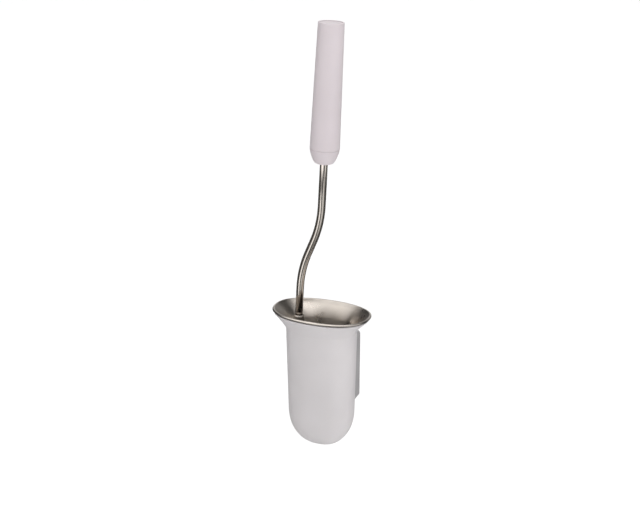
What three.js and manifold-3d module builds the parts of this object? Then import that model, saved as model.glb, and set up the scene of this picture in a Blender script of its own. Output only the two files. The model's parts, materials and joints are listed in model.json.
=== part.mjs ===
// A wall-hung toilet brush set: a flared cup with a steel liner, hung on a T-rail, and a brush
// with a tapered handle, an S-bent steel stem and a round head of bristle rows.
// Millimetres, +Z up. The wall is the plane Y = 0, and the object stands out from it towards -Y.
// The origin is the middle of the wall plate's back face.
import * as THREE from 'three';
import { mergeVertices } from 'three/addons/utils/BufferGeometryUtils.js';
import Module from 'manifold-3d';

const wasm = await Module();
wasm.setup();

// Driving dimensions
const GAP = 0.4; // room between pieces that touch or slide

const CUP_AXIS_Y = -45;
const LIP_Z = 71.7; // top edge of the shell
const FLARE_HEIGHT = 16;
const FLARE_POWER = 1.3;
const EQUATOR_Z = -36.2; // where the round bottom starts
const BOTTOM_DEPTH = 42.9; // from the equator down to the shell's lowest point
const BOTTOM_POWER = 2.25; // superellipse power of the round bottom, seen from the side
const CUP_POWER = 2.3; // superellipse power of the cup's outline, seen from above
const EQUATOR = { width: 36, depth: 27.2 }; // half sizes of the outline
const THROAT = { width: 37.8, depth: 28.5 };
const LIP = { width: 51.9, depth: 32.6 };
const SHELL_WALL = 2;
const LINER_WALL = 0.8;
const LINER_GAP = 0.5;
const BEAD_RADIUS = 1.4;

const HANGER = { width: 54.2, height: 79.5, depth: 26, corner: 4, clearOfWall: 0.5 };
const RAIL = { height: 55, top: 28, baseWidth: 34, baseDepth: 3, headWidth: 42, depth: 7 };
const WALL_SCREW = { z: 16, headRadius: 4, shankRadius: 2, coneDepth: 2.2 };
const HANGER_SCREW = { z: 20, headRadius: 3.2, shankRadius: 1.7, coneDepth: 1.6, end: -9.2 };

// The brush stands in the cup a little out of upright. Its own frame starts just below the bristles' tip.
const BRUSH_TIP = { x: -7.2, z: -75 };
const BRUSH_LEAN = THREE.MathUtils.degToRad(3.05);
const HANDLE_X = -6.8; // the handle's axis, from the head's axis
const STEM_OFFSET = 19.4; // how far the S-bend carries the stem to the left
const STEM_RADIUS = 4;
const STEM_WALL = 1;
const STEM_END_Z = 123;
const STEM_TOP_Z = 385;
const BEND = { middleZ: 218.5, radius: 115, angle: THREE.MathUtils.degToRad(20) };
const SEAM_Z = 324.9; // joint between the grip and its base cap
const BASE_CAP_HEIGHT = 14.6;
const HANDLE_TOP_Z = 448.2;
const GRIP = { bottomRadius: 15, topRadius: 12.7, wall: 1.6 };
const TOP_CAP = { recess: 0.6, height: 6 };
const BUSH_LENGTH = 12;
const LOWER_BUSH_Z = 333;
const UPPER_BUSH_Z = 370;
const FERRULE = { z: 136.5, height: 5, radius: 5.6 };
const SOCKET = { bottomZ: 118, radius: 6.2 };
const HUB = { bottomZ: 94, topZ: 104, radius: 8 };
const STUD = { radius: 2.5, bottomZ: 84, topZ: 100 };
const CORE = { bottomZ: 10, radius: 8 };
const ROWS = 10;
const ROW = { firstZ: 15, pitch: 8.1, height: 6, hubRadius: 10, radius: 22, tufts: 12, domeHeight: 36 };

// Materials
function material(colour, roughness, metalness) {
  return new THREE.MeshStandardMaterial({ color: colour, roughness, metalness });
}
const WHITE_PLASTIC = material(0xdcd8d9, 0.4, 0);
const GREY_PLASTIC = material(0x8f8b8d, 0.55, 0);
const DARK_PLASTIC = material(0x2c2a29, 0.5, 0);
const BLACK_NYLON = material(0x1d1c1b, 0.6, 0);
const BRUSHED_STEEL = material(0xb4ada3, 0.3, 1);
const CAST_ZINC = material(0x9b9a98, 0.45, 1);
const PLAIN_STEEL = material(0xa9a9ab, 0.3, 1);

// Solids
function solidOf(geometry) {
  const bare = new THREE.BufferGeometry().setAttribute('position', geometry.getAttribute('position'));
  bare.setIndex(geometry.index);
  const merged = mergeVertices(bare, 1e-4);
  const corners = merged.index.array;
  const triVerts = [];
  for (let i = 0; i < corners.length; i += 3) {
    const [a, b, c] = corners.slice(i, i + 3);
    if (a !== b && b !== c && c !== a) triVerts.push(a, b, c);
  }
  return new wasm.Manifold(new wasm.Mesh({
    numProp: 3,
    vertProperties: Float32Array.from(merged.attributes.position.array),
    triVerts: Uint32Array.from(triVerts),
  }));
}

function geometryOf(solid) {
  const mesh = solid.getMesh();
  const points = new Float32Array(mesh.numVert * 3);
  for (let i = 0; i < mesh.numVert; i++) {
    points.set(mesh.vertProperties.subarray(i * mesh.numProp, i * mesh.numProp + 3), i * 3);
  }
  return new THREE.BufferGeometry()
    .setAttribute('position', new THREE.BufferAttribute(points, 3))
    .setIndex(new THREE.BufferAttribute(mesh.triVerts, 1));
}

function cut(body, ...tools) {
  return geometryOf(tools.reduce((left, tool) => left.subtract(solidOf(tool)), solidOf(body)));
}

function join(...bodies) {
  return geometryOf(bodies.map(solidOf).reduce((whole, body) => whole.add(body)));
}

function piece(name, geometry, look) {
  const mesh = new THREE.Mesh(geometry, look);
  mesh.name = name;
  return mesh;
}

// A profile of [radius, z] points turned about the Z axis. It runs anticlockwise, from the axis back to it.
function turned(profile, sides = 24) {
  const points = profile.map(([radius, z]) => new THREE.Vector2(radius, z));
  return new THREE.LatheGeometry(points, sides).rotateX(Math.PI / 2);
}

function cylinder(radius, bottomZ, topZ, sides = 24) {
  return turned([[0, bottomZ], [radius, bottomZ], [radius, topZ], [0, topZ]], sides);
}

function tube(outer, inner, bottomZ, topZ, sides = 24) {
  return turned([[inner, bottomZ], [outer, bottomZ], [outer, topZ], [inner, topZ], [inner, bottomZ]], sides);
}

function box(width, depth, height, x, y, z) {
  return new THREE.BoxGeometry(width, depth, height).translate(x, y, z);
}

// The same piece turned so that its +Z points along +Y, towards the wall
function towardsWall(geometry) {
  return geometry.rotateX(-Math.PI / 2);
}

// The cup's outline at a station. Station -1 is the lowest point, 0 the equator, 1 the throat and 2 the lip.
function outline(station) {
  if (station <= 0) {
    const angle = (station * Math.PI) / 2;
    const shrink = Math.max(0, Math.cos(angle)) ** (2 / BOTTOM_POWER);
    const z = EQUATOR_Z - BOTTOM_DEPTH * Math.sin(-angle) ** (2 / BOTTOM_POWER);
    return { width: EQUATOR.width * shrink, depth: EQUATOR.depth * shrink, z };
  }
  const throatZ = LIP_Z - FLARE_HEIGHT;
  if (station <= 1) return blend({ ...EQUATOR, z: EQUATOR_Z }, { ...THROAT, z: throatZ }, station);
  const rise = station - 1;
  return { ...blend(THROAT, LIP, rise ** FLARE_POWER), z: throatZ + FLARE_HEIGHT * rise };
}

// Each value of one outline, part of the way to that of another
function blend(from, to, share) {
  const mixed = Object.keys(from).map((key) => [key, THREE.MathUtils.lerp(from[key], to[key], share)]);
  return Object.fromEntries(mixed);
}

function surfacePoint(station, angle) {
  const { width, depth, z } = outline(station);
  const c = Math.cos(angle);
  const s = Math.sin(angle);
  const x = width * Math.sign(c) * Math.abs(c) ** (2 / CUP_POWER);
  const y = depth * Math.sign(s) * Math.abs(s) ** (2 / CUP_POWER);
  return new THREE.Vector3(x, y, z);
}

// A point near the surface: `out` along its normal, and `up` along the wall towards the lip.
// A spot with only an `axisZ` is on the cup's axis at that height.
function wallPoint({ station, out, up = 0, axisZ }, angle) {
  if (axisZ !== undefined) return new THREE.Vector3(0, 0, axisZ);
  const point = surfacePoint(station, angle);
  if (station <= -1) return point.add(new THREE.Vector3(0, 0, -out));
  const small = 1e-3;
  const rise = surfacePoint(station, angle).sub(surfacePoint(station - small, angle)).normalize();
  const round = surfacePoint(station, angle + small).sub(surfacePoint(station, angle - small));
  const normal = round.cross(rise).normalize();
  return point.addScaledVector(normal, out).addScaledVector(rise, up);
}

// A closed skin that follows the cup: `section` runs anticlockwise from the axis back to the axis.
function cupSolid(section, sides = 36) {
  const points = [];
  const corners = [];
  for (let i = 0; i < sides; i++) {
    const angle = (i * 2 * Math.PI) / sides;
    section.forEach((spot) => points.push(...wallPoint(spot, angle).toArray()));
  }
  const rows = section.length;
  for (let i = 0; i < sides; i++) {
    const here = i * rows;
    const next = ((i + 1) % sides) * rows;
    for (let k = 0; k < rows - 1; k++) {
      corners.push(here + k, next + k, next + k + 1, here + k, next + k + 1, here + k + 1);
    }
  }
  const skin = new THREE.BufferGeometry();
  skin.setAttribute('position', new THREE.Float32BufferAttribute(points, 3));
  skin.setIndex(corners);
  return geometryOf(solidOf(skin)).translate(0, CUP_AXIS_Y, 0);
}

// Stations from the lowest point up to the lip, closer together where the surface curves
function stations() {
  const bottom = Array.from({ length: 7 }, (_, i) => -1 + i / 7);
  const flare = Array.from({ length: 6 }, (_, i) => 1 + i / 5);
  return [...bottom, 0, ...flare];
}

function wallPath(out) {
  return stations().map((station) => ({ station, out }));
}

function cupShell() {
  const skin = cupSolid([...wallPath(0), ...wallPath(-SHELL_WALL).reverse()]);
  return cut(skin, ...screwSites(HANGER_SCREW).map((z) => hangerScrew(z, GAP)));
}

function cupLiner() {
  const outside = -SHELL_WALL - LINER_GAP;
  const inside = outside - LINER_WALL;
  const middle = inside + BEAD_RADIUS;
  const lift = BEAD_RADIUS + GAP;
  const bead = [-70, -30, 0, 40, 90, 140, 180].map((degrees) => {
    const angle = THREE.MathUtils.degToRad(degrees);
    return {
      station: 2,
      out: middle + BEAD_RADIUS * Math.cos(angle),
      up: lift + BEAD_RADIUS * Math.sin(angle),
    };
  });
  const root = { station: 2, out: outside, up: lift - BEAD_RADIUS * 0.9 };
  return cupSolid([...wallPath(outside), root, ...bead, ...wallPath(inside).reverse()]);
}

// The wall plate and what hangs on it
function screwSites({ z }) {
  return [z, -z];
}

function crossRecess(size, depth, z) {
  const bars = [box(size, size / 4, depth * 2, 0, 0, z), box(size / 4, size, depth * 2, 0, 0, z)];
  return join(...bars);
}

function wallScrew(z, room = 0) {
  const { headRadius, shankRadius, coneDepth } = WALL_SCREW;
  const head = headRadius + room;
  const shank = shankRadius + room;
  const face = RAIL.depth;
  const end = room ? -1 : GAP;
  const profile = [
    [0, end],
    [shank, end],
    [shank, face - coneDepth],
    [head, face - GAP],
    [head, face],
    [0, face],
  ];
  const blank = turned(profile, 24);
  const screw = room ? blank : cut(blank, crossRecess(headRadius, 0.9, face));
  return screw.rotateX(Math.PI / 2).translate(0, 0, z);
}

function wallPlate() {
  const { height, top, baseWidth, baseDepth, headWidth, depth } = RAIL;
  const middle = top - height / 2;
  const base = box(baseWidth, baseDepth + 1, height, 0, -(baseDepth + 1) / 2, middle);
  const head = box(headWidth, depth - baseDepth, height, 0, -(depth + baseDepth) / 2, middle);
  return cut(join(base, head), ...screwSites(WALL_SCREW).map((z) => wallScrew(z, GAP)));
}

function hangerScrew(z, room = 0) {
  const { headRadius, shankRadius, coneDepth, end } = HANGER_SCREW;
  const inner = CUP_AXIS_Y + THROAT.depth - SHELL_WALL - 0.5;
  const head = headRadius + room;
  const shank = shankRadius + room;
  const start = room ? inner - 1 : inner;
  const profile = [
    [0, start],
    [head, start],
    [head, inner],
    [shank, inner + coneDepth],
    [shank, end + room],
    [0, end + room],
  ];
  const blank = turned(profile, 20);
  const screw = room ? blank : cut(blank, crossRecess(headRadius, 0.8, inner));
  return towardsWall(screw).translate(0, 0, z);
}

function roundedPlate(width, height, corner, depth) {
  const x = width / 2 - corner;
  const z = height / 2 - corner;
  const shape = new THREE.Shape();
  shape.absarc(x, z, corner, 0, Math.PI / 2);
  shape.absarc(-x, z, corner, Math.PI / 2, Math.PI);
  shape.absarc(-x, -z, corner, Math.PI, 1.5 * Math.PI);
  shape.absarc(x, -z, corner, 1.5 * Math.PI, 2 * Math.PI);
  shape.closePath();
  const solid = new THREE.ExtrudeGeometry(shape, { depth, bevelEnabled: false, curveSegments: 6 });
  return solid.rotateX(Math.PI / 2);
}

function hangerBlock() {
  const { width, height, depth, corner, clearOfWall } = HANGER;
  const block = roundedPlate(width, height, corner, depth).translate(0, -clearOfWall, 0);
  const cupRoom = cupSolid([...wallPath(GAP), { axisZ: LIP_Z }]);
  const channelTop = RAIL.top + GAP;
  const channelHeight = channelTop + height / 2 + 1;
  const channelZ = channelTop - channelHeight / 2;
  const lips = RAIL.baseDepth + GAP;
  const mouth = box(RAIL.baseWidth + 2 * GAP, lips + 2, channelHeight, 0, -(lips - 2) / 2, channelZ);
  const slotDepth = RAIL.depth - RAIL.baseDepth + 2 * GAP;
  const slotY = -(RAIL.depth + RAIL.baseDepth) / 2;
  const slot = box(RAIL.headWidth + 2 * GAP, slotDepth, channelHeight, 0, slotY, channelZ);
  return cut(block, cupRoom, mouth, slot, ...screwSites(HANGER_SCREW).map((z) => hangerScrew(z, GAP)));
}

// The brush, in its own frame: Z runs up the head's axis from the bristles' tip.
function stemPath() {
  const { middleZ, radius, angle } = BEND;
  const low = HANDLE_X - STEM_OFFSET;
  const arcX = radius * (1 - Math.cos(angle));
  const arcZ = radius * Math.sin(angle);
  const slant = (STEM_OFFSET - 2 * arcX) / Math.sin(angle);
  const halfZ = arcZ + (slant * Math.cos(angle)) / 2;
  const handleLength = (4 / 3) * Math.tan(angle / 4) * radius; // makes a cubic follow the arc
  const at = (x, z) => new THREE.Vector3(x, 0, z);
  const upright = at(0, handleLength);
  const tilted = at(handleLength * Math.sin(angle), handleLength * Math.cos(angle));
  const [start, leave] = [at(low, middleZ - halfZ), at(low + arcX, middleZ - halfZ + arcZ)];
  const [enter, end] = [at(HANDLE_X - arcX, middleZ + halfZ - arcZ), at(HANDLE_X, middleZ + halfZ)];
  const path = new THREE.CurvePath();
  path.add(new THREE.LineCurve3(at(low, STEM_END_Z), start));
  path.add(new THREE.CubicBezierCurve3(start, start.clone().add(upright), leave.clone().sub(tilted), leave));
  path.add(new THREE.LineCurve3(leave, enter));
  path.add(new THREE.CubicBezierCurve3(enter, enter.clone().add(tilted), end.clone().sub(upright), end));
  path.add(new THREE.LineCurve3(end, at(HANDLE_X, STEM_TOP_Z)));
  return path;
}

function stemTube() {
  const section = new THREE.Shape().absarc(0, 0, STEM_RADIUS, 0, 2 * Math.PI);
  section.holes.push(new THREE.Path().absarc(0, 0, STEM_RADIUS - STEM_WALL, 0, 2 * Math.PI));
  const settings = { extrudePath: stemPath(), steps: 30, curveSegments: 7, bevelEnabled: false };
  const rod = new THREE.ExtrudeGeometry(section, settings);
  return cut(rod, pinRod(GAP));
}

function gripRadius(z) {
  const share = (z - SEAM_Z) / (HANDLE_TOP_Z - SEAM_Z);
  return THREE.MathUtils.lerp(GRIP.bottomRadius, GRIP.topRadius, share);
}

function handleGrip() {
  const inner = (z) => gripRadius(z) - GRIP.wall;
  return turned([
    [inner(SEAM_Z), SEAM_Z], [gripRadius(SEAM_Z), SEAM_Z], [gripRadius(HANDLE_TOP_Z), HANDLE_TOP_Z],
    [inner(HANDLE_TOP_Z), HANDLE_TOP_Z], [inner(SEAM_Z), SEAM_Z],
  ], 32);
}

function handleBaseCap() {
  const seam = SEAM_Z - GAP;
  const bottom = seam - BASE_CAP_HEIGHT;
  const spigot = gripRadius(SEAM_Z) - GRIP.wall - GAP;
  const hole = STEM_RADIUS + GAP;
  return turned([
    [hole, bottom], [7.6, bottom], [9.4, bottom + 0.9], [11.1, bottom + 3.2], [12.8, bottom + 7],
    [14.2, bottom + 11], [14.9, seam - 0.5], [14.7, seam], [spigot, seam], [spigot, seam + 6],
    [hole, seam + 6], [hole, bottom],
  ], 32);
}

function handleTopCap() {
  const top = HANDLE_TOP_Z - TOP_CAP.recess;
  const bottom = top - TOP_CAP.height;
  const radius = gripRadius(HANDLE_TOP_Z) - GRIP.wall - GAP;
  return turned([[0, bottom], [radius, bottom], [radius, top - 0.3], [radius - 0.3, top], [0, top]], 32);
}

function bush(bottomZ) {
  const topZ = bottomZ + BUSH_LENGTH;
  const room = GRIP.wall + GAP;
  return turned([
    [STEM_RADIUS + GAP, bottomZ], [gripRadius(bottomZ) - room, bottomZ], [gripRadius(topZ) - room, topZ],
    [STEM_RADIUS + GAP, topZ], [STEM_RADIUS + GAP, bottomZ],
  ]);
}

// The pin crosses the lower bush and the stem from side to side.
function pinRod(room = 0) {
  const radius = 1.2 + room;
  const reach = room ? 20 : 10;
  const z = LOWER_BUSH_Z + BUSH_LENGTH / 2;
  return cylinder(radius, -reach, reach, 12).rotateX(Math.PI / 2).translate(HANDLE_X, 0, z);
}

function brushNeck() {
  const x = HANDLE_X - STEM_OFFSET;
  const top = FERRULE.z - GAP;
  const socket = cylinder(SOCKET.radius, SOCKET.bottomZ, top).translate(x, 0, 0);
  const path = new THREE.CubicBezierCurve3(
    new THREE.Vector3(x, 0, SOCKET.bottomZ + 4), new THREE.Vector3(x, 0, SOCKET.bottomZ - 9),
    new THREE.Vector3(0, 0, HUB.topZ + 11), new THREE.Vector3(0, 0, HUB.topZ - 5),
  );
  const section = new THREE.Shape().absarc(0, 0, SOCKET.radius - 0.05, 0, 2 * Math.PI);
  const settings = { extrudePath: path, steps: 8, curveSegments: 6, bevelEnabled: false };
  const arm = new THREE.ExtrudeGeometry(section, settings);
  const hub = turned([[0, HUB.bottomZ], [HUB.radius, HUB.bottomZ], [HUB.radius, HUB.topZ - 4],
    [SOCKET.radius, HUB.topZ], [0, HUB.topZ]]);
  const bore = cylinder(STEM_RADIUS + GAP, STEM_END_Z - GAP, top + 1, 24).translate(x, 0, 0);
  const studHole = cylinder(STUD.radius + GAP, HUB.bottomZ - 1, STUD.topZ + GAP, 16);
  return cut(join(socket, arm, hub), bore, studHole);
}

function brushCore() {
  const top = HUB.bottomZ - GAP;
  const body = cylinder(CORE.radius, CORE.bottomZ, top);
  return cut(body, cylinder(STUD.radius + GAP, STUD.bottomZ - GAP, top + 1, 16));
}

// Rows near the tip are smaller, so that the head ends in a dome.
function rowRadius(z) {
  const below = Math.max(0, ROW.domeHeight - (z - ROW.height / 2)) / ROW.domeHeight;
  return ROW.radius * Math.sqrt(1 - below ** 2);
}

function bristleRow(index) {
  const z = ROW.firstZ + index * ROW.pitch;
  const radius = index === ROWS - 1 ? rowRadius(z) - 2 : rowRadius(z);
  const step = (2 * Math.PI) / ROW.tufts;
  const turn = (index % 2) * (step / 2);
  const tuft = [
    [-0.32, ROW.hubRadius],
    [-0.4, radius],
    [0.4, radius],
    [0.32, ROW.hubRadius],
  ];
  const corners = [];
  for (let i = 0; i < ROW.tufts; i++) {
    for (const [share, r] of tuft) {
      const angle = turn + (i + share) * step;
      corners.push(new THREE.Vector2(r * Math.cos(angle), r * Math.sin(angle)));
    }
  }
  const star = new THREE.Shape(corners);
  star.holes.push(new THREE.Path().absarc(0, 0, CORE.radius + GAP, 0, 2 * Math.PI));
  const settings = { depth: ROW.height, bevelEnabled: false, curveSegments: 8 };
  return new THREE.ExtrudeGeometry(star, settings).translate(0, 0, z - ROW.height / 2);
}

function bristleTip() {
  const top = CORE.bottomZ - GAP;
  return turned([[0, 1], [4, 1.4], [8, 3.8], [11, 6.8], [12, top], [0, top]]);
}

function onHandleAxis(mesh) {
  mesh.position.x = HANDLE_X;
  return mesh;
}

function brush() {
  const group = new THREE.Group();
  const stemX = HANDLE_X - STEM_OFFSET;
  const ferrule = tube(FERRULE.radius, STEM_RADIUS + GAP, FERRULE.z, FERRULE.z + FERRULE.height);
  const lowerBush = cut(bush(LOWER_BUSH_Z), pinRod(GAP).translate(-HANDLE_X, 0, 0));
  group.add(
    onHandleAxis(piece('handle_grip', handleGrip(), WHITE_PLASTIC)),
    onHandleAxis(piece('handle_base_cap', handleBaseCap(), WHITE_PLASTIC)),
    onHandleAxis(piece('handle_top_cap', handleTopCap(), WHITE_PLASTIC)),
    onHandleAxis(piece('handle_bush_lower', lowerBush, GREY_PLASTIC)),
    onHandleAxis(piece('handle_bush_upper', bush(UPPER_BUSH_Z), GREY_PLASTIC)),
    piece('stem_pin', pinRod(), PLAIN_STEEL),
    piece('stem_tube', stemTube(), BRUSHED_STEEL),
    piece('stem_ferrule', ferrule.translate(stemX, 0, 0), BRUSHED_STEEL),
    piece('brush_neck', brushNeck(), DARK_PLASTIC),
    piece('core_stud', cylinder(STUD.radius, STUD.bottomZ, STUD.topZ, 16), PLAIN_STEEL),
    piece('brush_core', brushCore(), DARK_PLASTIC),
    piece('bristle_tip', bristleTip(), BLACK_NYLON),
  );
  for (let i = 0; i < ROWS; i++) {
    const name = `bristle_row_${String(i + 1).padStart(2, '0')}`;
    group.add(piece(name, bristleRow(i), BLACK_NYLON));
  }
  group.position.set(BRUSH_TIP.x, CUP_AXIS_Y, BRUSH_TIP.z);
  group.rotation.y = BRUSH_LEAN;
  return group;
}

const brushHolder = new THREE.Group();
brushHolder.add(
  piece('wall_plate', wallPlate(), CAST_ZINC),
  piece('wall_screw_upper', wallScrew(WALL_SCREW.z), PLAIN_STEEL),
  piece('wall_screw_lower', wallScrew(-WALL_SCREW.z), PLAIN_STEEL),
  piece('hanger_block', hangerBlock(), GREY_PLASTIC),
  piece('hanger_screw_upper', hangerScrew(HANGER_SCREW.z), PLAIN_STEEL),
  piece('hanger_screw_lower', hangerScrew(-HANGER_SCREW.z), PLAIN_STEEL),
  piece('cup_shell', cupShell(), WHITE_PLASTIC),
  piece('cup_liner', cupLiner(), BRUSHED_STEEL),
  brush(),
);

export default brushHolder;
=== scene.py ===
"""The looks of a wall-hung toilet brush set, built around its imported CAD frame.

Metres, +Z up. The wall is the plane Y = 0, and the set stands out from it towards -Y.
"""

import json
import math
import random

import bmesh
import bpy
from mathutils import Matrix, Vector


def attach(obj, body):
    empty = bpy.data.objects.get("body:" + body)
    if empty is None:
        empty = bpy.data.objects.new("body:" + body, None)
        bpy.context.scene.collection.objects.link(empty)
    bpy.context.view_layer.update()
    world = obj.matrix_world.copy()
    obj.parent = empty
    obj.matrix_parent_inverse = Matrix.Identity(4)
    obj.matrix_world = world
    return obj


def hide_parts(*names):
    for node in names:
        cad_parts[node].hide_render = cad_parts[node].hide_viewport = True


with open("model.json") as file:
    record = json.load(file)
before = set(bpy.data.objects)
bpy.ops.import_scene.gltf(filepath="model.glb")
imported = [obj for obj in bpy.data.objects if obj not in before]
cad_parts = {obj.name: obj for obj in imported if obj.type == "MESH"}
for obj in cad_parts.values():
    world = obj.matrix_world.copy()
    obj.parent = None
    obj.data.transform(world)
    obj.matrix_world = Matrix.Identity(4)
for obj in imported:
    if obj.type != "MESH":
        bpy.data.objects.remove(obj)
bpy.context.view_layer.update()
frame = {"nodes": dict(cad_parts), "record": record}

MM = 0.001

# The cup's outer surface, as the CAD has it. An outline is its half width and half depth.
CUP_AXIS_Y = -45 * MM
LIP_Z = 71.7 * MM
FLARE_HEIGHT = 16 * MM
FLARE_POWER = 1.3
EQUATOR_Z = -36.2 * MM
BOTTOM_DEPTH = 42.9 * MM
BOTTOM_POWER = 2.25
CUP_POWER = 2.3
EQUATOR = Vector((36, 27.2)) * MM
THROAT = Vector((37.8, 28.5)) * MM
LIP = Vector((51.9, 32.6)) * MM
SHELL_WALL = 2 * MM
LINER_OUTSIDE = -2.5 * MM
LINER_INSIDE = -3.3 * MM
BEAD_RADIUS = 1.35 * MM
BEAD_LIFT = 1.8 * MM
CUP_SIDES = 192
BOTTOM_RINGS = 24
STRAIGHT_RINGS = 10
FLARE_RINGS = 24
LIP_START = 1.93  # the station where the shell's rounded lip begins

# The brush's own frame: Z runs up the head's axis, and it leans a little in the cup.
BRUSH = Matrix.Translation(Vector((-7.2, -45, -75)) * MM) @ Matrix.Rotation(math.radians(3.05), 4, "Y")
HANDLE_X = -6.8 * MM
STEM_OFFSET = 19.4 * MM
STEM_X = HANDLE_X - STEM_OFFSET
HANDLE = BRUSH @ Matrix.Translation((HANDLE_X, 0, 0))
FOOT = BRUSH @ Matrix.Translation((STEM_X, 0, 0))
SEAM_Z = 324.9 * MM
SEAM_GROOVE = 0.15 * MM
BASE_CAP_HEIGHT = 14.9 * MM
HANDLE_TOP_Z = 448.05 * MM
TOP_CAP_RECESS = 0.6 * MM
TOP_CAP_HEIGHT = 6 * MM
GRIP_BOTTOM_RADIUS = 15 * MM
GRIP_TOP_RADIUS = 12.7 * MM
GRIP_WALL = 1.6 * MM
GRIP_EDGE = 0.35 * MM
HANDLE_SIDES = 128
STEM_RADIUS = 4 * MM
STEM_WALL = 1 * MM
STEM_END_Z = 123 * MM
STEM_TOP_Z = 385 * MM
BEND_MIDDLE_Z = 218.5 * MM
BEND_RADIUS = 115 * MM
BEND_ANGLE = math.radians(20)
FERRULE_Z = 136.5 * MM
FERRULE_HEIGHT = 5 * MM
FERRULE_RADIUS = 5.6 * MM
SOCKET_RADIUS = 6.2 * MM
SOCKET_BOTTOM_Z = 118 * MM
HUB_BOTTOM_Z = 94 * MM
HUB_RADIUS = 8 * MM
GAP = 0.4 * MM
CORE_BOTTOM_Z = 10 * MM
CORE_RADIUS = 8 * MM
ROWS = 10
ROW_PITCH = 8.1 * MM
FIRST_ROW_Z = 15 * MM
HEAD_RADIUS = 22 * MM
HEAD_DOME = 36 * MM
TUFTS = 12
FIBRES = 24
TIP_FIBRES = 150
FIBRE_RADIUS = 0.2 * MM

# Metal fittings that keep their CAD shape
FITTINGS = (
    "wall_screw_upper",
    "wall_screw_lower",
    "hanger_screw_upper",
    "hanger_screw_lower",
    "stem_pin",
    "core_stud",
)
BUSHES = ("handle_bush_lower", "handle_bush_upper")

CAMERA_PLACE = Vector((387.26, -979.64, 502.98)) * MM
CAMERA_TARGET = Vector((-1.74, -45.04, 134.48)) * MM
CAMERA_LENS = 59.06
FLOOR_Z = -0.6
FLOOR_REACH = 60


# Materials

class Look:
    """A material with one Principled shader and a few helpers to put nodes behind its sockets."""

    def __init__(self, name, colour, roughness, metallic=0.0):
        self.material = bpy.data.materials.new(name)
        self.material.use_nodes = True
        self.tree = self.material.node_tree
        self.shader = self.tree.nodes["Principled BSDF"]
        self.set("Base Color", (*colour, 1))
        self.set("Roughness", roughness)
        self.set("Metallic", metallic)
        self.place = self.tree.nodes.new("ShaderNodeTexCoord").outputs["Object"]
        self.height = None

    def set(self, socket, value):
        self.shader.inputs[socket].default_value = value

    def link(self, output, socket):
        self.tree.links.new(output, socket)

    def stretched(self, scale):
        """The object's own coordinates, squeezed by a factor along each axis."""
        node = self.tree.nodes.new("ShaderNodeMapping")
        node.inputs["Scale"].default_value = scale
        self.link(self.place, node.inputs["Vector"])
        return node.outputs["Vector"]

    def level(self):
        """The height above the object's origin in metres."""
        node = self.tree.nodes.new("ShaderNodeSeparateXYZ")
        self.link(self.place, node.inputs["Vector"])
        return node.outputs["Z"]

    def noise(self, size, detail=3.0, scale=(1, 1, 1)):
        """Noise whose features measure about that size in metres."""
        node = self.tree.nodes.new("ShaderNodeTexNoise")
        node.inputs["Scale"].default_value = 1 / size
        node.inputs["Detail"].default_value = detail
        self.link(self.stretched(scale), node.inputs["Vector"])
        return node.outputs["Fac"]

    def ramp(self, factor, low, high, start=0.3, end=0.7):
        """Turns a factor into a colour or a grey level between two values."""
        node = self.tree.nodes.new("ShaderNodeValToRGB")
        for stop, place, value in zip(node.color_ramp.elements, (start, end), (low, high)):
            stop.position = place
            stop.color = (*value, 1) if isinstance(value, tuple) else (value, value, value, 1)
        self.link(factor, node.inputs["Fac"])
        return node.outputs["Color"]

    def multiply(self, first, second, factor=1.0):
        node = self.tree.nodes.new("ShaderNodeMix")
        node.data_type = "RGBA"
        node.blend_type = "MULTIPLY"
        node.inputs["Factor"].default_value = factor
        self.link(first, node.inputs["A"])
        self.link(second, node.inputs["B"])
        return node.outputs["Result"]

    def bump(self, height, depth, strength=1.0):
        """Adds bumps of that depth in metres to the ones already there."""
        node = self.tree.nodes.new("ShaderNodeBump")
        node.inputs["Strength"].default_value = strength
        node.inputs["Distance"].default_value = depth
        self.link(height, node.inputs["Height"])
        if self.height:
            self.link(self.height, node.inputs["Normal"])
        self.height = node.outputs["Normal"]
        self.link(self.height, self.shader.inputs["Normal"])


def white_plastic(name, shade):
    """Moulded plastic, a little cloudy. `shade` is its middle colour."""
    look = Look(name, shade, 0.4)
    look.set("Subsurface Weight", 0.06)
    look.set("Subsurface Radius", (0.003, 0.0025, 0.002))
    look.set("Specular IOR Level", 0.35)
    dull, fair = (tuple(channel * level for channel in shade) for level in (0.97, 1.03))
    clouds = look.ramp(look.noise(0.05, 2), dull, fair)
    specks = look.ramp(look.noise(0.0012, 2), (0.97, 0.965, 0.96), (1.0, 1.0, 1.0), 0.28, 0.36)
    look.link(look.multiply(clouds, specks), look.shader.inputs["Base Color"])
    look.link(look.ramp(look.noise(0.012, 4), 0.34, 0.46), look.shader.inputs["Roughness"])
    look.bump(look.noise(0.0009, 2), 0.00002)
    look.bump(look.noise(0.02, 1), 0.00012)
    return look.material


def grey_plastic():
    look = Look("grey_plastic", (0.33, 0.32, 0.325), 0.5)
    grain = look.noise(0.0006, 3)
    clouds = look.ramp(look.noise(0.02, 3), (0.31, 0.297, 0.303), (0.355, 0.343, 0.35))
    look.link(clouds, look.shader.inputs["Base Color"])
    look.link(look.ramp(grain, 0.44, 0.6), look.shader.inputs["Roughness"])
    look.bump(grain, 0.00006)
    return look.material


def dark_plastic():
    look = Look("dark_plastic", (0.03, 0.027, 0.025), 0.42)
    look.link(look.ramp(look.noise(0.008, 3), (0.022, 0.02, 0.019), (0.042, 0.038, 0.035)),
              look.shader.inputs["Base Color"])
    look.link(look.ramp(look.noise(0.003, 3), 0.34, 0.52), look.shader.inputs["Roughness"])
    look.bump(look.noise(0.0007, 2), 0.00004)
    return look.material


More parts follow.
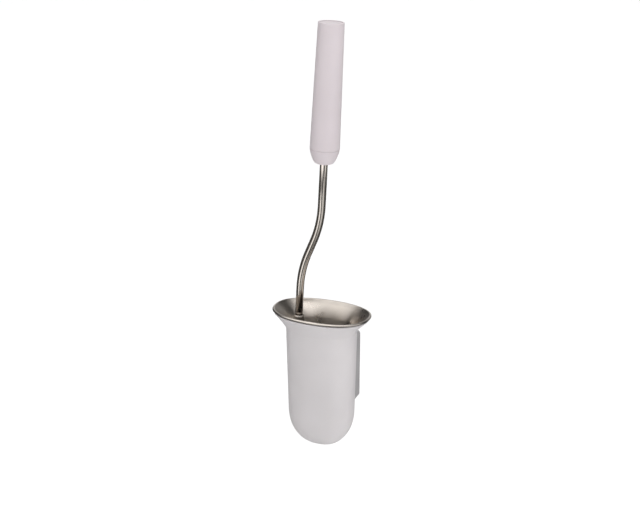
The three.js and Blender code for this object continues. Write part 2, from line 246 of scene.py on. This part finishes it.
def black_nylon():
    look = Look("black_nylon", (0.02, 0.019, 0.018), 0.45)
    look.link(look.ramp(look.noise(0.004, 3), (0.012, 0.011, 0.011), (0.045, 0.041, 0.038)),
              look.shader.inputs["Base Color"])
    look.link(look.ramp(look.noise(0.002, 2), 0.35, 0.55), look.shader.inputs["Roughness"])
    return look.material


def steel(name, grain, tint=(0.66, 0.605, 0.55), roughness=(0.2, 0.32), spread=0.0, edge=None):
    """Brushed steel. `grain` squeezes the noise, so that the brush lines run along its smallest axis.

    `spread` smears the reflections up and down, as lines that run round the Z axis do.
    Above the height `edge` the colour is darker: painted shade that tones down the rolled bead.
    """
    look = Look(name, tint, 0.28, 1.0)
    look.set("Anisotropic", spread)
    look.set("Anisotropic Rotation", 0.25)
    lines = look.noise(0.0005, 3, grain)
    darker = tuple(channel * 0.88 for channel in tint)
    clouds = look.ramp(look.noise(0.02, 3), darker, tint)
    hairs = look.ramp(lines, (0.88, 0.88, 0.88), (1.0, 1.0, 1.0))
    colour = look.multiply(clouds, hairs)
    if edge is not None:
        # Painted shade: the colour above this height is darkened to tone down the lit bead.
        painted_bead_shade = look.ramp(look.level(), (1.0, 1.0, 1.0), (0.82, 0.82, 0.82), edge, edge + 0.0005)
        colour = look.multiply(colour, painted_bead_shade)
    look.link(colour, look.shader.inputs["Base Color"])
    smears = look.noise(0.015, 4)
    look.link(look.ramp(smears, *roughness), look.shader.inputs["Roughness"])
    look.bump(lines, 0.00001, 0.6)
    return look.material


def cast_zinc():
    look = Look("cast_zinc", (0.42, 0.42, 0.41), 0.45, 1.0)
    look.link(look.ramp(look.noise(0.006, 4), (0.36, 0.36, 0.35), (0.46, 0.46, 0.45)),
              look.shader.inputs["Base Color"])
    look.link(look.ramp(look.noise(0.002, 4), 0.38, 0.58), look.shader.inputs["Roughness"])
    look.bump(look.noise(0.001, 3), 0.00006)
    return look.material


# Geometry

def mesh_object(name, points, faces, material, place=Matrix.Identity(4)):
    mesh = bpy.data.meshes.new(name)
    mesh.from_pydata([tuple(p) for p in points], [], faces)
    mesh.shade_smooth()
    mesh.materials.append(material)
    piece = bpy.data.objects.new(name, mesh)
    bpy.context.scene.collection.objects.link(piece)
    piece.matrix_world = place
    return piece


def skin(name, rings, material, place=Matrix.Identity(4), joined=False):
    """A closed surface through rings of points. A ring of one point is a pole."""
    points = [p for ring in rings for p in ring]
    starts = [sum(len(ring) for ring in rings[:i]) for i in range(len(rings))]
    pairs = list(zip(range(len(rings)), range(1, len(rings))))
    if joined:
        pairs.append((len(rings) - 1, 0))
    faces = []
    for low, high in pairs:
        count = max(len(rings[low]), len(rings[high]))
        for i in range(count):
            j = (i + 1) % count
            corners = [starts[low] + i % len(rings[low]), starts[low] + j % len(rings[low]),
                       starts[high] + j % len(rings[high]), starts[high] + i % len(rings[high])]
            faces.append(tuple(dict.fromkeys(corners)))
    return mesh_object(name, points, faces, material, place)


def circle(radius, z, sides):
    if radius == 0:
        return [Vector((0, 0, z))]
    turns = [2 * math.pi * i / sides for i in range(sides)]
    return [Vector((radius * math.cos(a), radius * math.sin(a), z)) for a in turns]


def lathe(name, profile, material, place, sides=96):
    """A turned piece. The profile runs anticlockwise, and closes on itself if it starts off the axis."""
    rings = [circle(radius, z, sides) for radius, z in rounded(profile)]
    return skin(name, rings, material, place, joined=profile[0][0] > 0)


def rounded(profile):
    """Rounds off each corner (radius, z, blend) of a profile by that size. A corner with no blend stays."""
    steps = 6
    points = []
    for i, corner in enumerate(profile):
        if len(corner) == 2:
            points.append(corner)
            continue
        here = Vector(corner[:2])
        before = Vector(profile[i - 1][:2]) - here
        after = Vector(profile[(i + 1) % len(profile)][:2]) - here
        start = here + before.normalized() * corner[2]
        end = here + after.normalized() * corner[2]
        for step in range(steps + 1):
            t = step / steps
            points.append(tuple(start.lerp(here, t).lerp(here.lerp(end, t), t)))
    return points


def outline(station):
    """The cup's half sizes and height at a station.

    Station -1 is the lowest point, 0 the equator, 1 the throat and 2 the lip.
    """
    throat_z = LIP_Z - FLARE_HEIGHT
    if station <= 0:
        angle = station * math.pi / 2
        shrink = max(0, math.cos(angle)) ** (2 / BOTTOM_POWER)
        return EQUATOR * shrink, EQUATOR_Z - BOTTOM_DEPTH * math.sin(-angle) ** (2 / BOTTOM_POWER)
    if station <= 1:
        return EQUATOR.lerp(THROAT, station), EQUATOR_Z + (throat_z - EQUATOR_Z) * station
    rise = station - 1
    return THROAT.lerp(LIP, rise ** FLARE_POWER), throat_z + FLARE_HEIGHT * rise


def surface_point(station, angle):
    size, z = outline(station)
    c, s = math.cos(angle), math.sin(angle)
    x = size.x * math.copysign(abs(c) ** (2 / CUP_POWER), c)
    y = size.y * math.copysign(abs(s) ** (2 / CUP_POWER), s)
    return Vector((x, y + CUP_AXIS_Y, z))


def wall_point(station, angle, out, up=0.0):
    """A point `out` from the cup's surface along its normal, and `up` along the wall towards the lip."""
    point = surface_point(station, angle)
    step = 1e-3
    rise = (point - surface_point(station - step, angle)).normalized()
    across = surface_point(station, angle + step) - surface_point(station, angle - step)
    return point + across.cross(rise).normalized() * out + rise * up


def cup_ring(station, out, up=0.0):
    if station <= -1:
        return [Vector((0, CUP_AXIS_Y, EQUATOR_Z - BOTTOM_DEPTH - out))]
    turns = [2 * math.pi * i / CUP_SIDES for i in range(CUP_SIDES)]
    return [wall_point(station, a, out, up) for a in turns]


def wall_rings(out, last=2.0):
    """Rings from the lowest point to near the lip, closer together where the wall curves."""
    bottom = [-1 + i / BOTTOM_RINGS for i in range(BOTTOM_RINGS)]
    straight = [i / STRAIGHT_RINGS for i in range(STRAIGHT_RINGS + 1)]
    flare = [1 + (last - 1) * i / FLARE_RINGS for i in range(1, FLARE_RINGS + 1)]
    return [cup_ring(station, out) for station in bottom + straight + flare]


def arc(centre_out, centre_up, radius, start, end, steps):
    """Rings round a rolled or rounded edge at the lip, between two angles in degrees."""
    turns = [math.radians(start + (end - start) * i / steps) for i in range(steps + 1)]
    return [cup_ring(2, centre_out + radius * math.cos(a), centre_up + radius * math.sin(a)) for a in turns]


def cup_shell(material):
    half = SHELL_WALL / 2
    lip = arc(-half, -half, half, 0, 180, 8)
    rings = wall_rings(0, LIP_START) + lip + wall_rings(-SHELL_WALL, LIP_START)[::-1]
    return skin("shell", rings, material)


def cup_liner(material):
    bead = arc(LINER_INSIDE + BEAD_RADIUS, BEAD_LIFT, BEAD_RADIUS, -70, 180, 20)
    root = cup_ring(2, LINER_OUTSIDE, BEAD_LIFT - BEAD_RADIUS * 0.9)
    rings = wall_rings(LINER_OUTSIDE) + [root] + bead + wall_rings(LINER_INSIDE)[::-1]
    return skin("liner", rings, material)


def grip_radius(z):
    share = (z - SEAM_Z) / (HANDLE_TOP_Z - SEAM_Z)
    return GRIP_BOTTOM_RADIUS + (GRIP_TOP_RADIUS - GRIP_BOTTOM_RADIUS) * share


def handle_grip(material):
    outer_bottom = grip_radius(SEAM_Z)
    outer_top = grip_radius(HANDLE_TOP_Z)
    return lathe("grip", [
        (outer_bottom - GRIP_WALL, SEAM_Z),
        (outer_bottom, SEAM_Z, GRIP_EDGE),
        (outer_top, HANDLE_TOP_Z, GRIP_EDGE),
        (outer_top - GRIP_WALL, HANDLE_TOP_Z, GRIP_EDGE),
    ], material, HANDLE, HANDLE_SIDES)


def spline(points, steps):
    """A smooth curve through points in a plane."""
    knots = [Vector(p) for p in [points[0], *points, points[-1]]]
    curve = []
    for a, b, c, d in zip(knots, knots[1:], knots[2:], knots[3:]):
        for i in range(steps):
            t = i / steps
            bend = (a * 2 - b * 5 + c * 4 - d) * t ** 2 + (b * 3 - a - c * 3 + d) * t ** 3
            curve.append(tuple((b * 2 + (c - a) * t + bend) / 2))
    return curve + [tuple(points[-1])]


def handle_base_cap(material):
    """A cap with a round shoulder, and a spigot that goes up into the grip. A fine groove parts the two."""
    seam = SEAM_Z - SEAM_GROOVE
    bottom = seam - BASE_CAP_HEIGHT
    hole = STEM_RADIUS + GAP
    spigot = grip_radius(SEAM_Z) - GRIP_WALL - GAP
    spigot_top = seam + 6 * MM
    shoulder = [(7.6, 0), (9.4, 0.8), (11.1, 3), (12.8, 6.8), (14.2, 11)]
    flank = [(radius * MM, bottom + z * MM) for radius, z in shoulder]
    flank.append((14.95 * MM, seam - 0.3 * MM))
    return lathe("base_cap", [
        (hole, bottom + 0.4 * MM),
        (hole + 0.4 * MM, bottom),
        *spline(flank, 6),
        (14.7 * MM, seam),
        (spigot, seam),
        (spigot, spigot_top),
        (hole, spigot_top),
    ], material, HANDLE, HANDLE_SIDES)


def handle_top_cap(material):
    """A plug that sits just below the grip's rim."""
    top = HANDLE_TOP_Z - TOP_CAP_RECESS
    bottom = top - TOP_CAP_HEIGHT
    radius = grip_radius(HANDLE_TOP_Z) - GRIP_WALL - GAP / 2
    return lathe("top_cap", [
        (0, bottom),
        (radius, bottom),
        (radius, top, 0.3 * MM),
        (0, top),
    ], material, HANDLE, HANDLE_SIDES)


def sweep(name, spine, radii, material, place, sides=40, bore=0.0):
    """A rod or a tube along points in the XZ plane."""
    sideways = Vector((0, 1, 0))
    turns = [2 * math.pi * k / sides for k in range(sides)]

    def rings(shrink):
        made = []
        for i, point in enumerate(spine):
            ahead = spine[min(i + 1, len(spine) - 1)] - spine[max(i - 1, 0)]
            across = ahead.cross(sideways).normalized()
            radius = radii[i] - shrink
            spokes = [across * math.cos(a) + sideways * math.sin(a) for a in turns]
            made.append([point + spoke * radius for spoke in spokes])
        return made

    if bore:
        return skin(name, rings(0) + rings(bore)[::-1], material, place, joined=True)
    return skin(name, [[spine[0]], *rings(0), [spine[-1]]], material, place)


def bezier(a, b, c, d, steps):
    """Points along a cubic curve, without its last one."""
    curve = []
    for i in range(steps):
        t = i / steps
        curve.append(a * (1 - t) ** 3 + b * 3 * t * (1 - t) ** 2 + c * 3 * t ** 2 * (1 - t) + d * t ** 3)
    return curve


def stem_tube(material):
    """Straight, an arc to the right, a short slant, an arc back upright, and straight up into the handle."""
    lean = Vector((math.sin(BEND_ANGLE), 0, math.cos(BEND_ANGLE)))
    arc_x = BEND_RADIUS * (1 - lean.z)
    arc_z = BEND_RADIUS * lean.x
    half = arc_z + (STEM_OFFSET - 2 * arc_x) / lean.x * lean.z / 2
    start = Vector((STEM_X, 0, BEND_MIDDLE_Z - half))
    end = Vector((HANDLE_X, 0, BEND_MIDDLE_Z + half))
    turns = [BEND_ANGLE * i / 40 for i in range(41)]
    bulges = [Vector((1 - math.cos(a), 0, math.sin(a))) * BEND_RADIUS for a in turns]
    spine = [Vector((STEM_X, 0, STEM_END_Z))]
    spine += [start + bulge for bulge in bulges]
    spine += [end - bulge for bulge in bulges[::-1]]
    spine.append(Vector((HANDLE_X, 0, STEM_TOP_Z)))
    return sweep("stem", spine, [STEM_RADIUS] * len(spine), material, BRUSH, 48, bore=STEM_WALL)


def stem_ferrule(material):
    low = FERRULE_Z
    high = FERRULE_Z + FERRULE_HEIGHT
    hole = STEM_RADIUS + 0.2 * MM
    return lathe("ferrule", [
        (hole, low),
        (FERRULE_RADIUS, low, 0.4 * MM),
        (FERRULE_RADIUS, high - 1.4 * MM, 0.3 * MM),
        (FERRULE_RADIUS - 0.7 * MM, high, 0.4 * MM),
        (hole, high),
    ], material, FOOT, 64)


def brush_neck(material):
    """An arm from the stem's socket across to the hub on the head's axis."""
    foot = Vector((STEM_X, 0, SOCKET_BOTTOM_Z))
    hub = Vector((0, 0, HUB_BOTTOM_Z))
    up = Vector((0, 0, MM))
    steps = 24
    bend = bezier(foot + up * 4, foot - up * 9, hub + up * 21, hub + up * 5, steps)
    spine = [foot + up * 18.1, foot + up * 17.5, *bend, hub + up * 4, hub + up * 0.4, hub]
    shares = [i / steps for i in range(steps)]
    waist = [SOCKET_RADIUS - math.sin(math.pi * t) ** 2 * 0.7 * MM + t ** 3 * 1.6 * MM for t in shares]
    radii = [SOCKET_RADIUS - 0.5 * MM, SOCKET_RADIUS, *waist, HUB_RADIUS, HUB_RADIUS, HUB_RADIUS - 0.4 * MM]
    return sweep("neck", spine[::-1], radii[::-1], material, BRUSH, 48)


def brush_core(material):
    top = HUB_BOTTOM_Z - GAP
    return lathe("core", [
        (0, CORE_BOTTOM_Z),
        (CORE_RADIUS, CORE_BOTTOM_Z, 0.6 * MM),
        (CORE_RADIUS, top, 0.5 * MM),
        (0, top),
    ], material, BRUSH, 64)


def fibre(start, end, sag, chance):
    """The points and faces of one nylon bristle: a thin bent rod with a blunt end."""
    along = (end - start).normalized()
    side = along.orthogonal().normalized()
    other = along.cross(side)
    points = []
    for i, share in enumerate((0, 0.4, 0.75, 1)):
        middle = start.lerp(end, share) + sag * share ** 2
        radius = FIBRE_RADIUS * (1 if i < 3 else 0.75)
        for k in range(4):
            turn = math.pi * k / 2 + chance
            points.append(middle + (side * math.cos(turn) + other * math.sin(turn)) * radius)
    faces = [(i + k, i + (k + 1) % 4, i + 4 + (k + 1) % 4, i + 4 + k) for i in (0, 4, 8) for k in range(4)]
    return points, faces + [(3, 2, 1, 0), (12, 13, 14, 15)]


def bristles(name, roots_and_ends, material, dice):
    """One object of many fibres. Each sags a little its own way."""
    points, faces = [], []
    for start, end in roots_and_ends:
        sag = Vector([dice.uniform(-0.6, 0.6) * MM for _ in range(3)])
        more, around = fibre(start, end, sag, dice.uniform(0, math.pi / 2))
        faces += [tuple(i + len(points) for i in face) for face in around]
        points += more
    return mesh_object(name, points, faces, material, BRUSH)


def head_radius(z):
    """Rows near the tip are shorter, so that the head ends in a dome."""
    below = max(0, HEAD_DOME - z) / HEAD_DOME
    return HEAD_RADIUS * math.sqrt(1 - min(below, 0.98) ** 2)


def bristle_row(index, material, dice):
    """A ring of tufts. Every other ring is turned by half a tuft."""
    row_z = FIRST_ROW_Z + index * ROW_PITCH
    pairs = []
    for tuft in range(TUFTS):
        middle = (tuft + index % 2 / 2) * 2 * math.pi / TUFTS
        for _ in range(FIBRES):
            angle = middle + dice.gauss(0, 0.05)
            spread = dice.uniform(-0.5, 0.5) * 2 * math.pi / TUFTS * 0.8
            rise = dice.uniform(-1, 1)
            z = row_z + rise * 2.7 * MM
            reach = head_radius(z - 0.5 * MM) - dice.uniform(0.2, 1.3) * MM
            start = Vector((math.cos(angle), math.sin(angle), 0)) * (CORE_RADIUS - 1 * MM)
            start.z = row_z + rise * 1.1 * MM
            end = Vector((math.cos(middle + spread), math.sin(middle + spread), 0)) * reach
            end.z = z
            pairs.append((start, end))
    return bristles(f"bristles_{index + 1:02d}", pairs, material, dice)


def bristle_tip(material, dice):
    """The tuft at the core's end. Its outer fibres end higher, which makes the dome."""
    pairs = []
    for _ in range(TIP_FIBRES):
        angle = dice.uniform(0, 2 * math.pi)
        share = math.sqrt(dice.random())
        start = Vector((math.cos(angle) * share * 6, math.sin(angle) * share * 6, 12)) * MM
        reach = share * 11
        end = Vector((math.cos(angle) * reach, math.sin(angle) * reach, 1.6 + 5.2 * share ** 2.4)) * MM
        pairs.append((start, end))
    return bristles("bristle_tip_tuft", pairs, material, dice)


def softened(name, node, material, edge):
    """A copy of a CAD node with its edges rounded off."""
    mesh = frame["nodes"][node].data.copy()
    work = bmesh.new()
    work.from_mesh(mesh)
    bmesh.ops.remove_doubles(work, verts=work.verts, dist=2e-6)
    bmesh.ops.dissolve_limit(work, angle_limit=math.radians(2), verts=work.verts, edges=work.edges)
    work.to_mesh(mesh)
    work.free()
    mesh.name = name
    mesh.materials.clear()
    mesh.materials.append(material)
    piece = bpy.data.objects.new(name, mesh)
    bpy.context.scene.collection.objects.link(piece)
    bevel = piece.modifiers.new("edges", "BEVEL")
    bevel.width = edge
    bevel.segments = 3
    bevel.limit_method = "ANGLE"
    bevel.angle_limit = math.radians(35)
    bevel.harden_normals = True
    mesh.shade_smooth()
    return piece


# Stage

def aim(thing, place, target):
    thing.location = place
    thing.rotation_euler = (target - place).to_track_quat("-Z", "Y").to_euler()


def make_camera():
    camera = bpy.data.cameras.new("camera")
    camera.lens = CAMERA_LENS
    camera.sensor_width = 36
    camera.clip_end = 200
    thing = bpy.data.objects.new("camera", camera)
    bpy.context.scene.collection.objects.link(thing)
    aim(thing, CAMERA_PLACE, CAMERA_TARGET)
    bpy.context.scene.camera = thing


def soft_light(name, place, target, size, power):
    """A soft lamp that shines on matt surfaces and doesn't show in shiny ones."""
    light = bpy.data.lights.new(name, "AREA")
    light.size = size
    light.energy = power
    thing = bpy.data.objects.new(name, light)
    bpy.context.scene.collection.objects.link(thing)
    thing.visible_glossy = False
    aim(thing, Vector(place), Vector(target))


def make_floor():
    look = Look("floor", (0.96, 0.96, 0.96), 0.9)
    look.link(look.ramp(look.noise(0.4, 2), (0.955, 0.955, 0.955), (0.965, 0.965, 0.965)),
              look.shader.inputs["Base Color"])
    sides = [(-1, -1), (1, -1), (1, 1), (-1, 1)]
    corners = [(x * FLOOR_REACH, y * FLOOR_REACH, FLOOR_Z) for x, y in sides]
    floor = mesh_object("floor", corners, [(0, 1, 2, 3)], look.material)
    floor.visible_glossy = False


class Sky:
    """A studio surround made of soft round patches of light."""

    def __init__(self):
        world = bpy.data.worlds.new("studio")
        bpy.context.scene.world = world
        world.use_nodes = True
        world.cycles.sampling_method = "NONE"
        self.tree = world.node_tree
        self.towards = self.tree.nodes.new("ShaderNodeTexCoord").outputs["Generated"]
        self.ray = self.tree.nodes.new("ShaderNodeLightPath")

    def patch(self, towards, inner, outer, brightness):
        """Full brightness up to `inner` degrees from its middle, fading to nothing at `outer`."""
        tilt = self.tree.nodes.new("ShaderNodeVectorMath")
        tilt.operation = "DOT_PRODUCT"
        tilt.inputs[1].default_value = Vector(towards).normalized()
        self.tree.links.new(self.towards, tilt.inputs[0])
        fade = self.tree.nodes.new("ShaderNodeMapRange")
        fade.interpolation_type = "SMOOTHSTEP"
        fade.inputs["From Min"].default_value = math.cos(math.radians(outer))
        fade.inputs["From Max"].default_value = math.cos(math.radians(inner))
        fade.inputs["To Max"].default_value = brightness
        self.tree.links.new(tilt.outputs["Value"], fade.inputs["Value"])
        return fade.outputs["Result"]

    def patches(self, base, places):
        total = self.tree.nodes.new("ShaderNodeValue").outputs[0]
        total.default_value = base
        for place in places:
            both = self.tree.nodes.new("ShaderNodeMath")
            self.tree.links.new(total, both.inputs[0])
            self.tree.links.new(self.patch(*place), both.inputs[1])
            total = both.outputs[0]
        return total

    def choose(self, ray, otherwise, seen):
        """What one kind of ray sees, and what the others see."""
        node = self.tree.nodes.new("ShaderNodeMix")
        self.tree.links.new(self.ray.outputs[ray], node.inputs["Factor"])
        self.tree.links.new(otherwise, node.inputs["A"])
        self.tree.links.new(seen, node.inputs["B"])
        return node.outputs["Result"]


def make_sky():
    """White all round for matt surfaces, and darker with a few bright patches in reflections."""
    sky = Sky()
    matt = sky.patches(0.06, [
        ((0.45, -0.85, 0.25), 15, 85, 0.12),
        ((0, 0, 1), 25, 75, 1.54),
    ])
    # Overhead front, right, two behind, low behind, low front and low right
    shiny = sky.patches(0.09, [
        ((-0.16, -0.58, 0.8), 36, 56, 2.05),
        ((0.94, -0.2, 0.35), 8, 26, 1.4),
        ((0.5, 0.86, 0.1), 6, 18, 0.7),
        ((-0.25, 0.86, 0.44), 10, 30, 0.8),
        ((-0.45, 0.85, -0.25), 10, 22, 0.8),
        ((-0.29, -0.9, -0.34), 6, 20, 1.6),
        ((0.72, -0.57, -0.34), 12, 30, 0.85),
    ])
    white = sky.patches(1.05, [])
    strength = sky.choose("Is Camera Ray", sky.choose("Is Glossy Ray", matt, shiny), white)
    sky.tree.links.new(strength, sky.tree.nodes["Background"].inputs["Strength"])
    sky.tree.nodes["Background"].inputs["Color"].default_value = (1, 1, 1, 1)


def recoat(node, material):
    """A CAD node that keeps its shape and gets another material."""
    frame["nodes"][node].data.materials.clear()
    frame["nodes"][node].data.materials.append(material)


def build():
    """Makes every piece, and says which body it rides on, which node it stands for and its material slot."""
    dice = random.Random(7)
    white = white_plastic("white_plastic", (0.575, 0.55, 0.557))
    rosy = white_plastic("handle_plastic", (0.605, 0.548, 0.57))
    grey = grey_plastic()
    dark = dark_plastic()
    nylon = black_nylon()
    # The liner's bead above the lip gets painted shade, a darker colour.
    spun = steel("spun_steel", (1, 1, 8), roughness=(0.26, 0.34), spread=0.85, edge=LIP_Z)
    drawn = steel("drawn_steel", (8, 8, 1), roughness=(0.14, 0.22))
    # The ferrule's steel: rougher, with a darker tint that is painted shade on the stem's foot.
    dull = steel("ferrule_steel_painted_shade", (1, 1, 8), (0.4, 0.365, 0.33), (0.42, 0.52))
    plated = steel("plated_steel", (1, 1, 1), (0.55, 0.55, 0.56))
    zinc = cast_zinc()
    pieces = [
        (cup_shell(white), "cup_shell", "white_plastic"),
        (cup_liner(spun), "cup_liner", "brushed_steel"),
        (handle_grip(rosy), "handle_grip", "white_plastic"),
        (handle_base_cap(rosy), "handle_base_cap", "white_plastic"),
        (handle_top_cap(rosy), "handle_top_cap", "white_plastic"),
        (stem_tube(drawn), "stem_tube", "brushed_steel"),
        (stem_ferrule(dull), "stem_ferrule", "brushed_steel"),
        (brush_neck(dark), "brush_neck", "dark_plastic"),
        (brush_core(dark), "brush_core", "dark_plastic"),
        (bristle_tip(nylon, dice), "bristle_tip", "black_nylon"),
        (softened("block", "hanger_block", grey, 0.5 * MM), "hanger_block", "grey_plastic"),
        (softened("rail", "wall_plate", zinc, 0.4 * MM), "wall_plate", "cast_zinc"),
    ]
    for index in range(ROWS):
        row = bristle_row(index, nylon, dice)
        pieces.append((row, f"bristle_row_{index + 1:02d}", "black_nylon"))
    bodies = frame["record"]["behaviour"]["bodies"]
    homes = {node: body for body, nodes in bodies.items() for node in nodes}
    for piece, node, slot in pieces:
        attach(piece, homes[node])
        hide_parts(node)
    for node in FITTINGS:
        recoat(node, plated)
    for node in BUSHES:
        recoat(node, grey)


bpy.context.scene.view_settings.view_transform = "Standard"
make_camera()
make_sky()
make_floor()
soft_light("key", (0.6, -0.9, 0.62), (0, -0.045, 0.28), 0.5, 3.9)
soft_light("low_right", (0.5, 0, -0.25), (0, -0.045, -0.02), 0.3, 0.6)
soft_light("low_left", (-0.5, -0.2, -0.25), (0, -0.045, -0.02), 0.3, 0.12)
build()
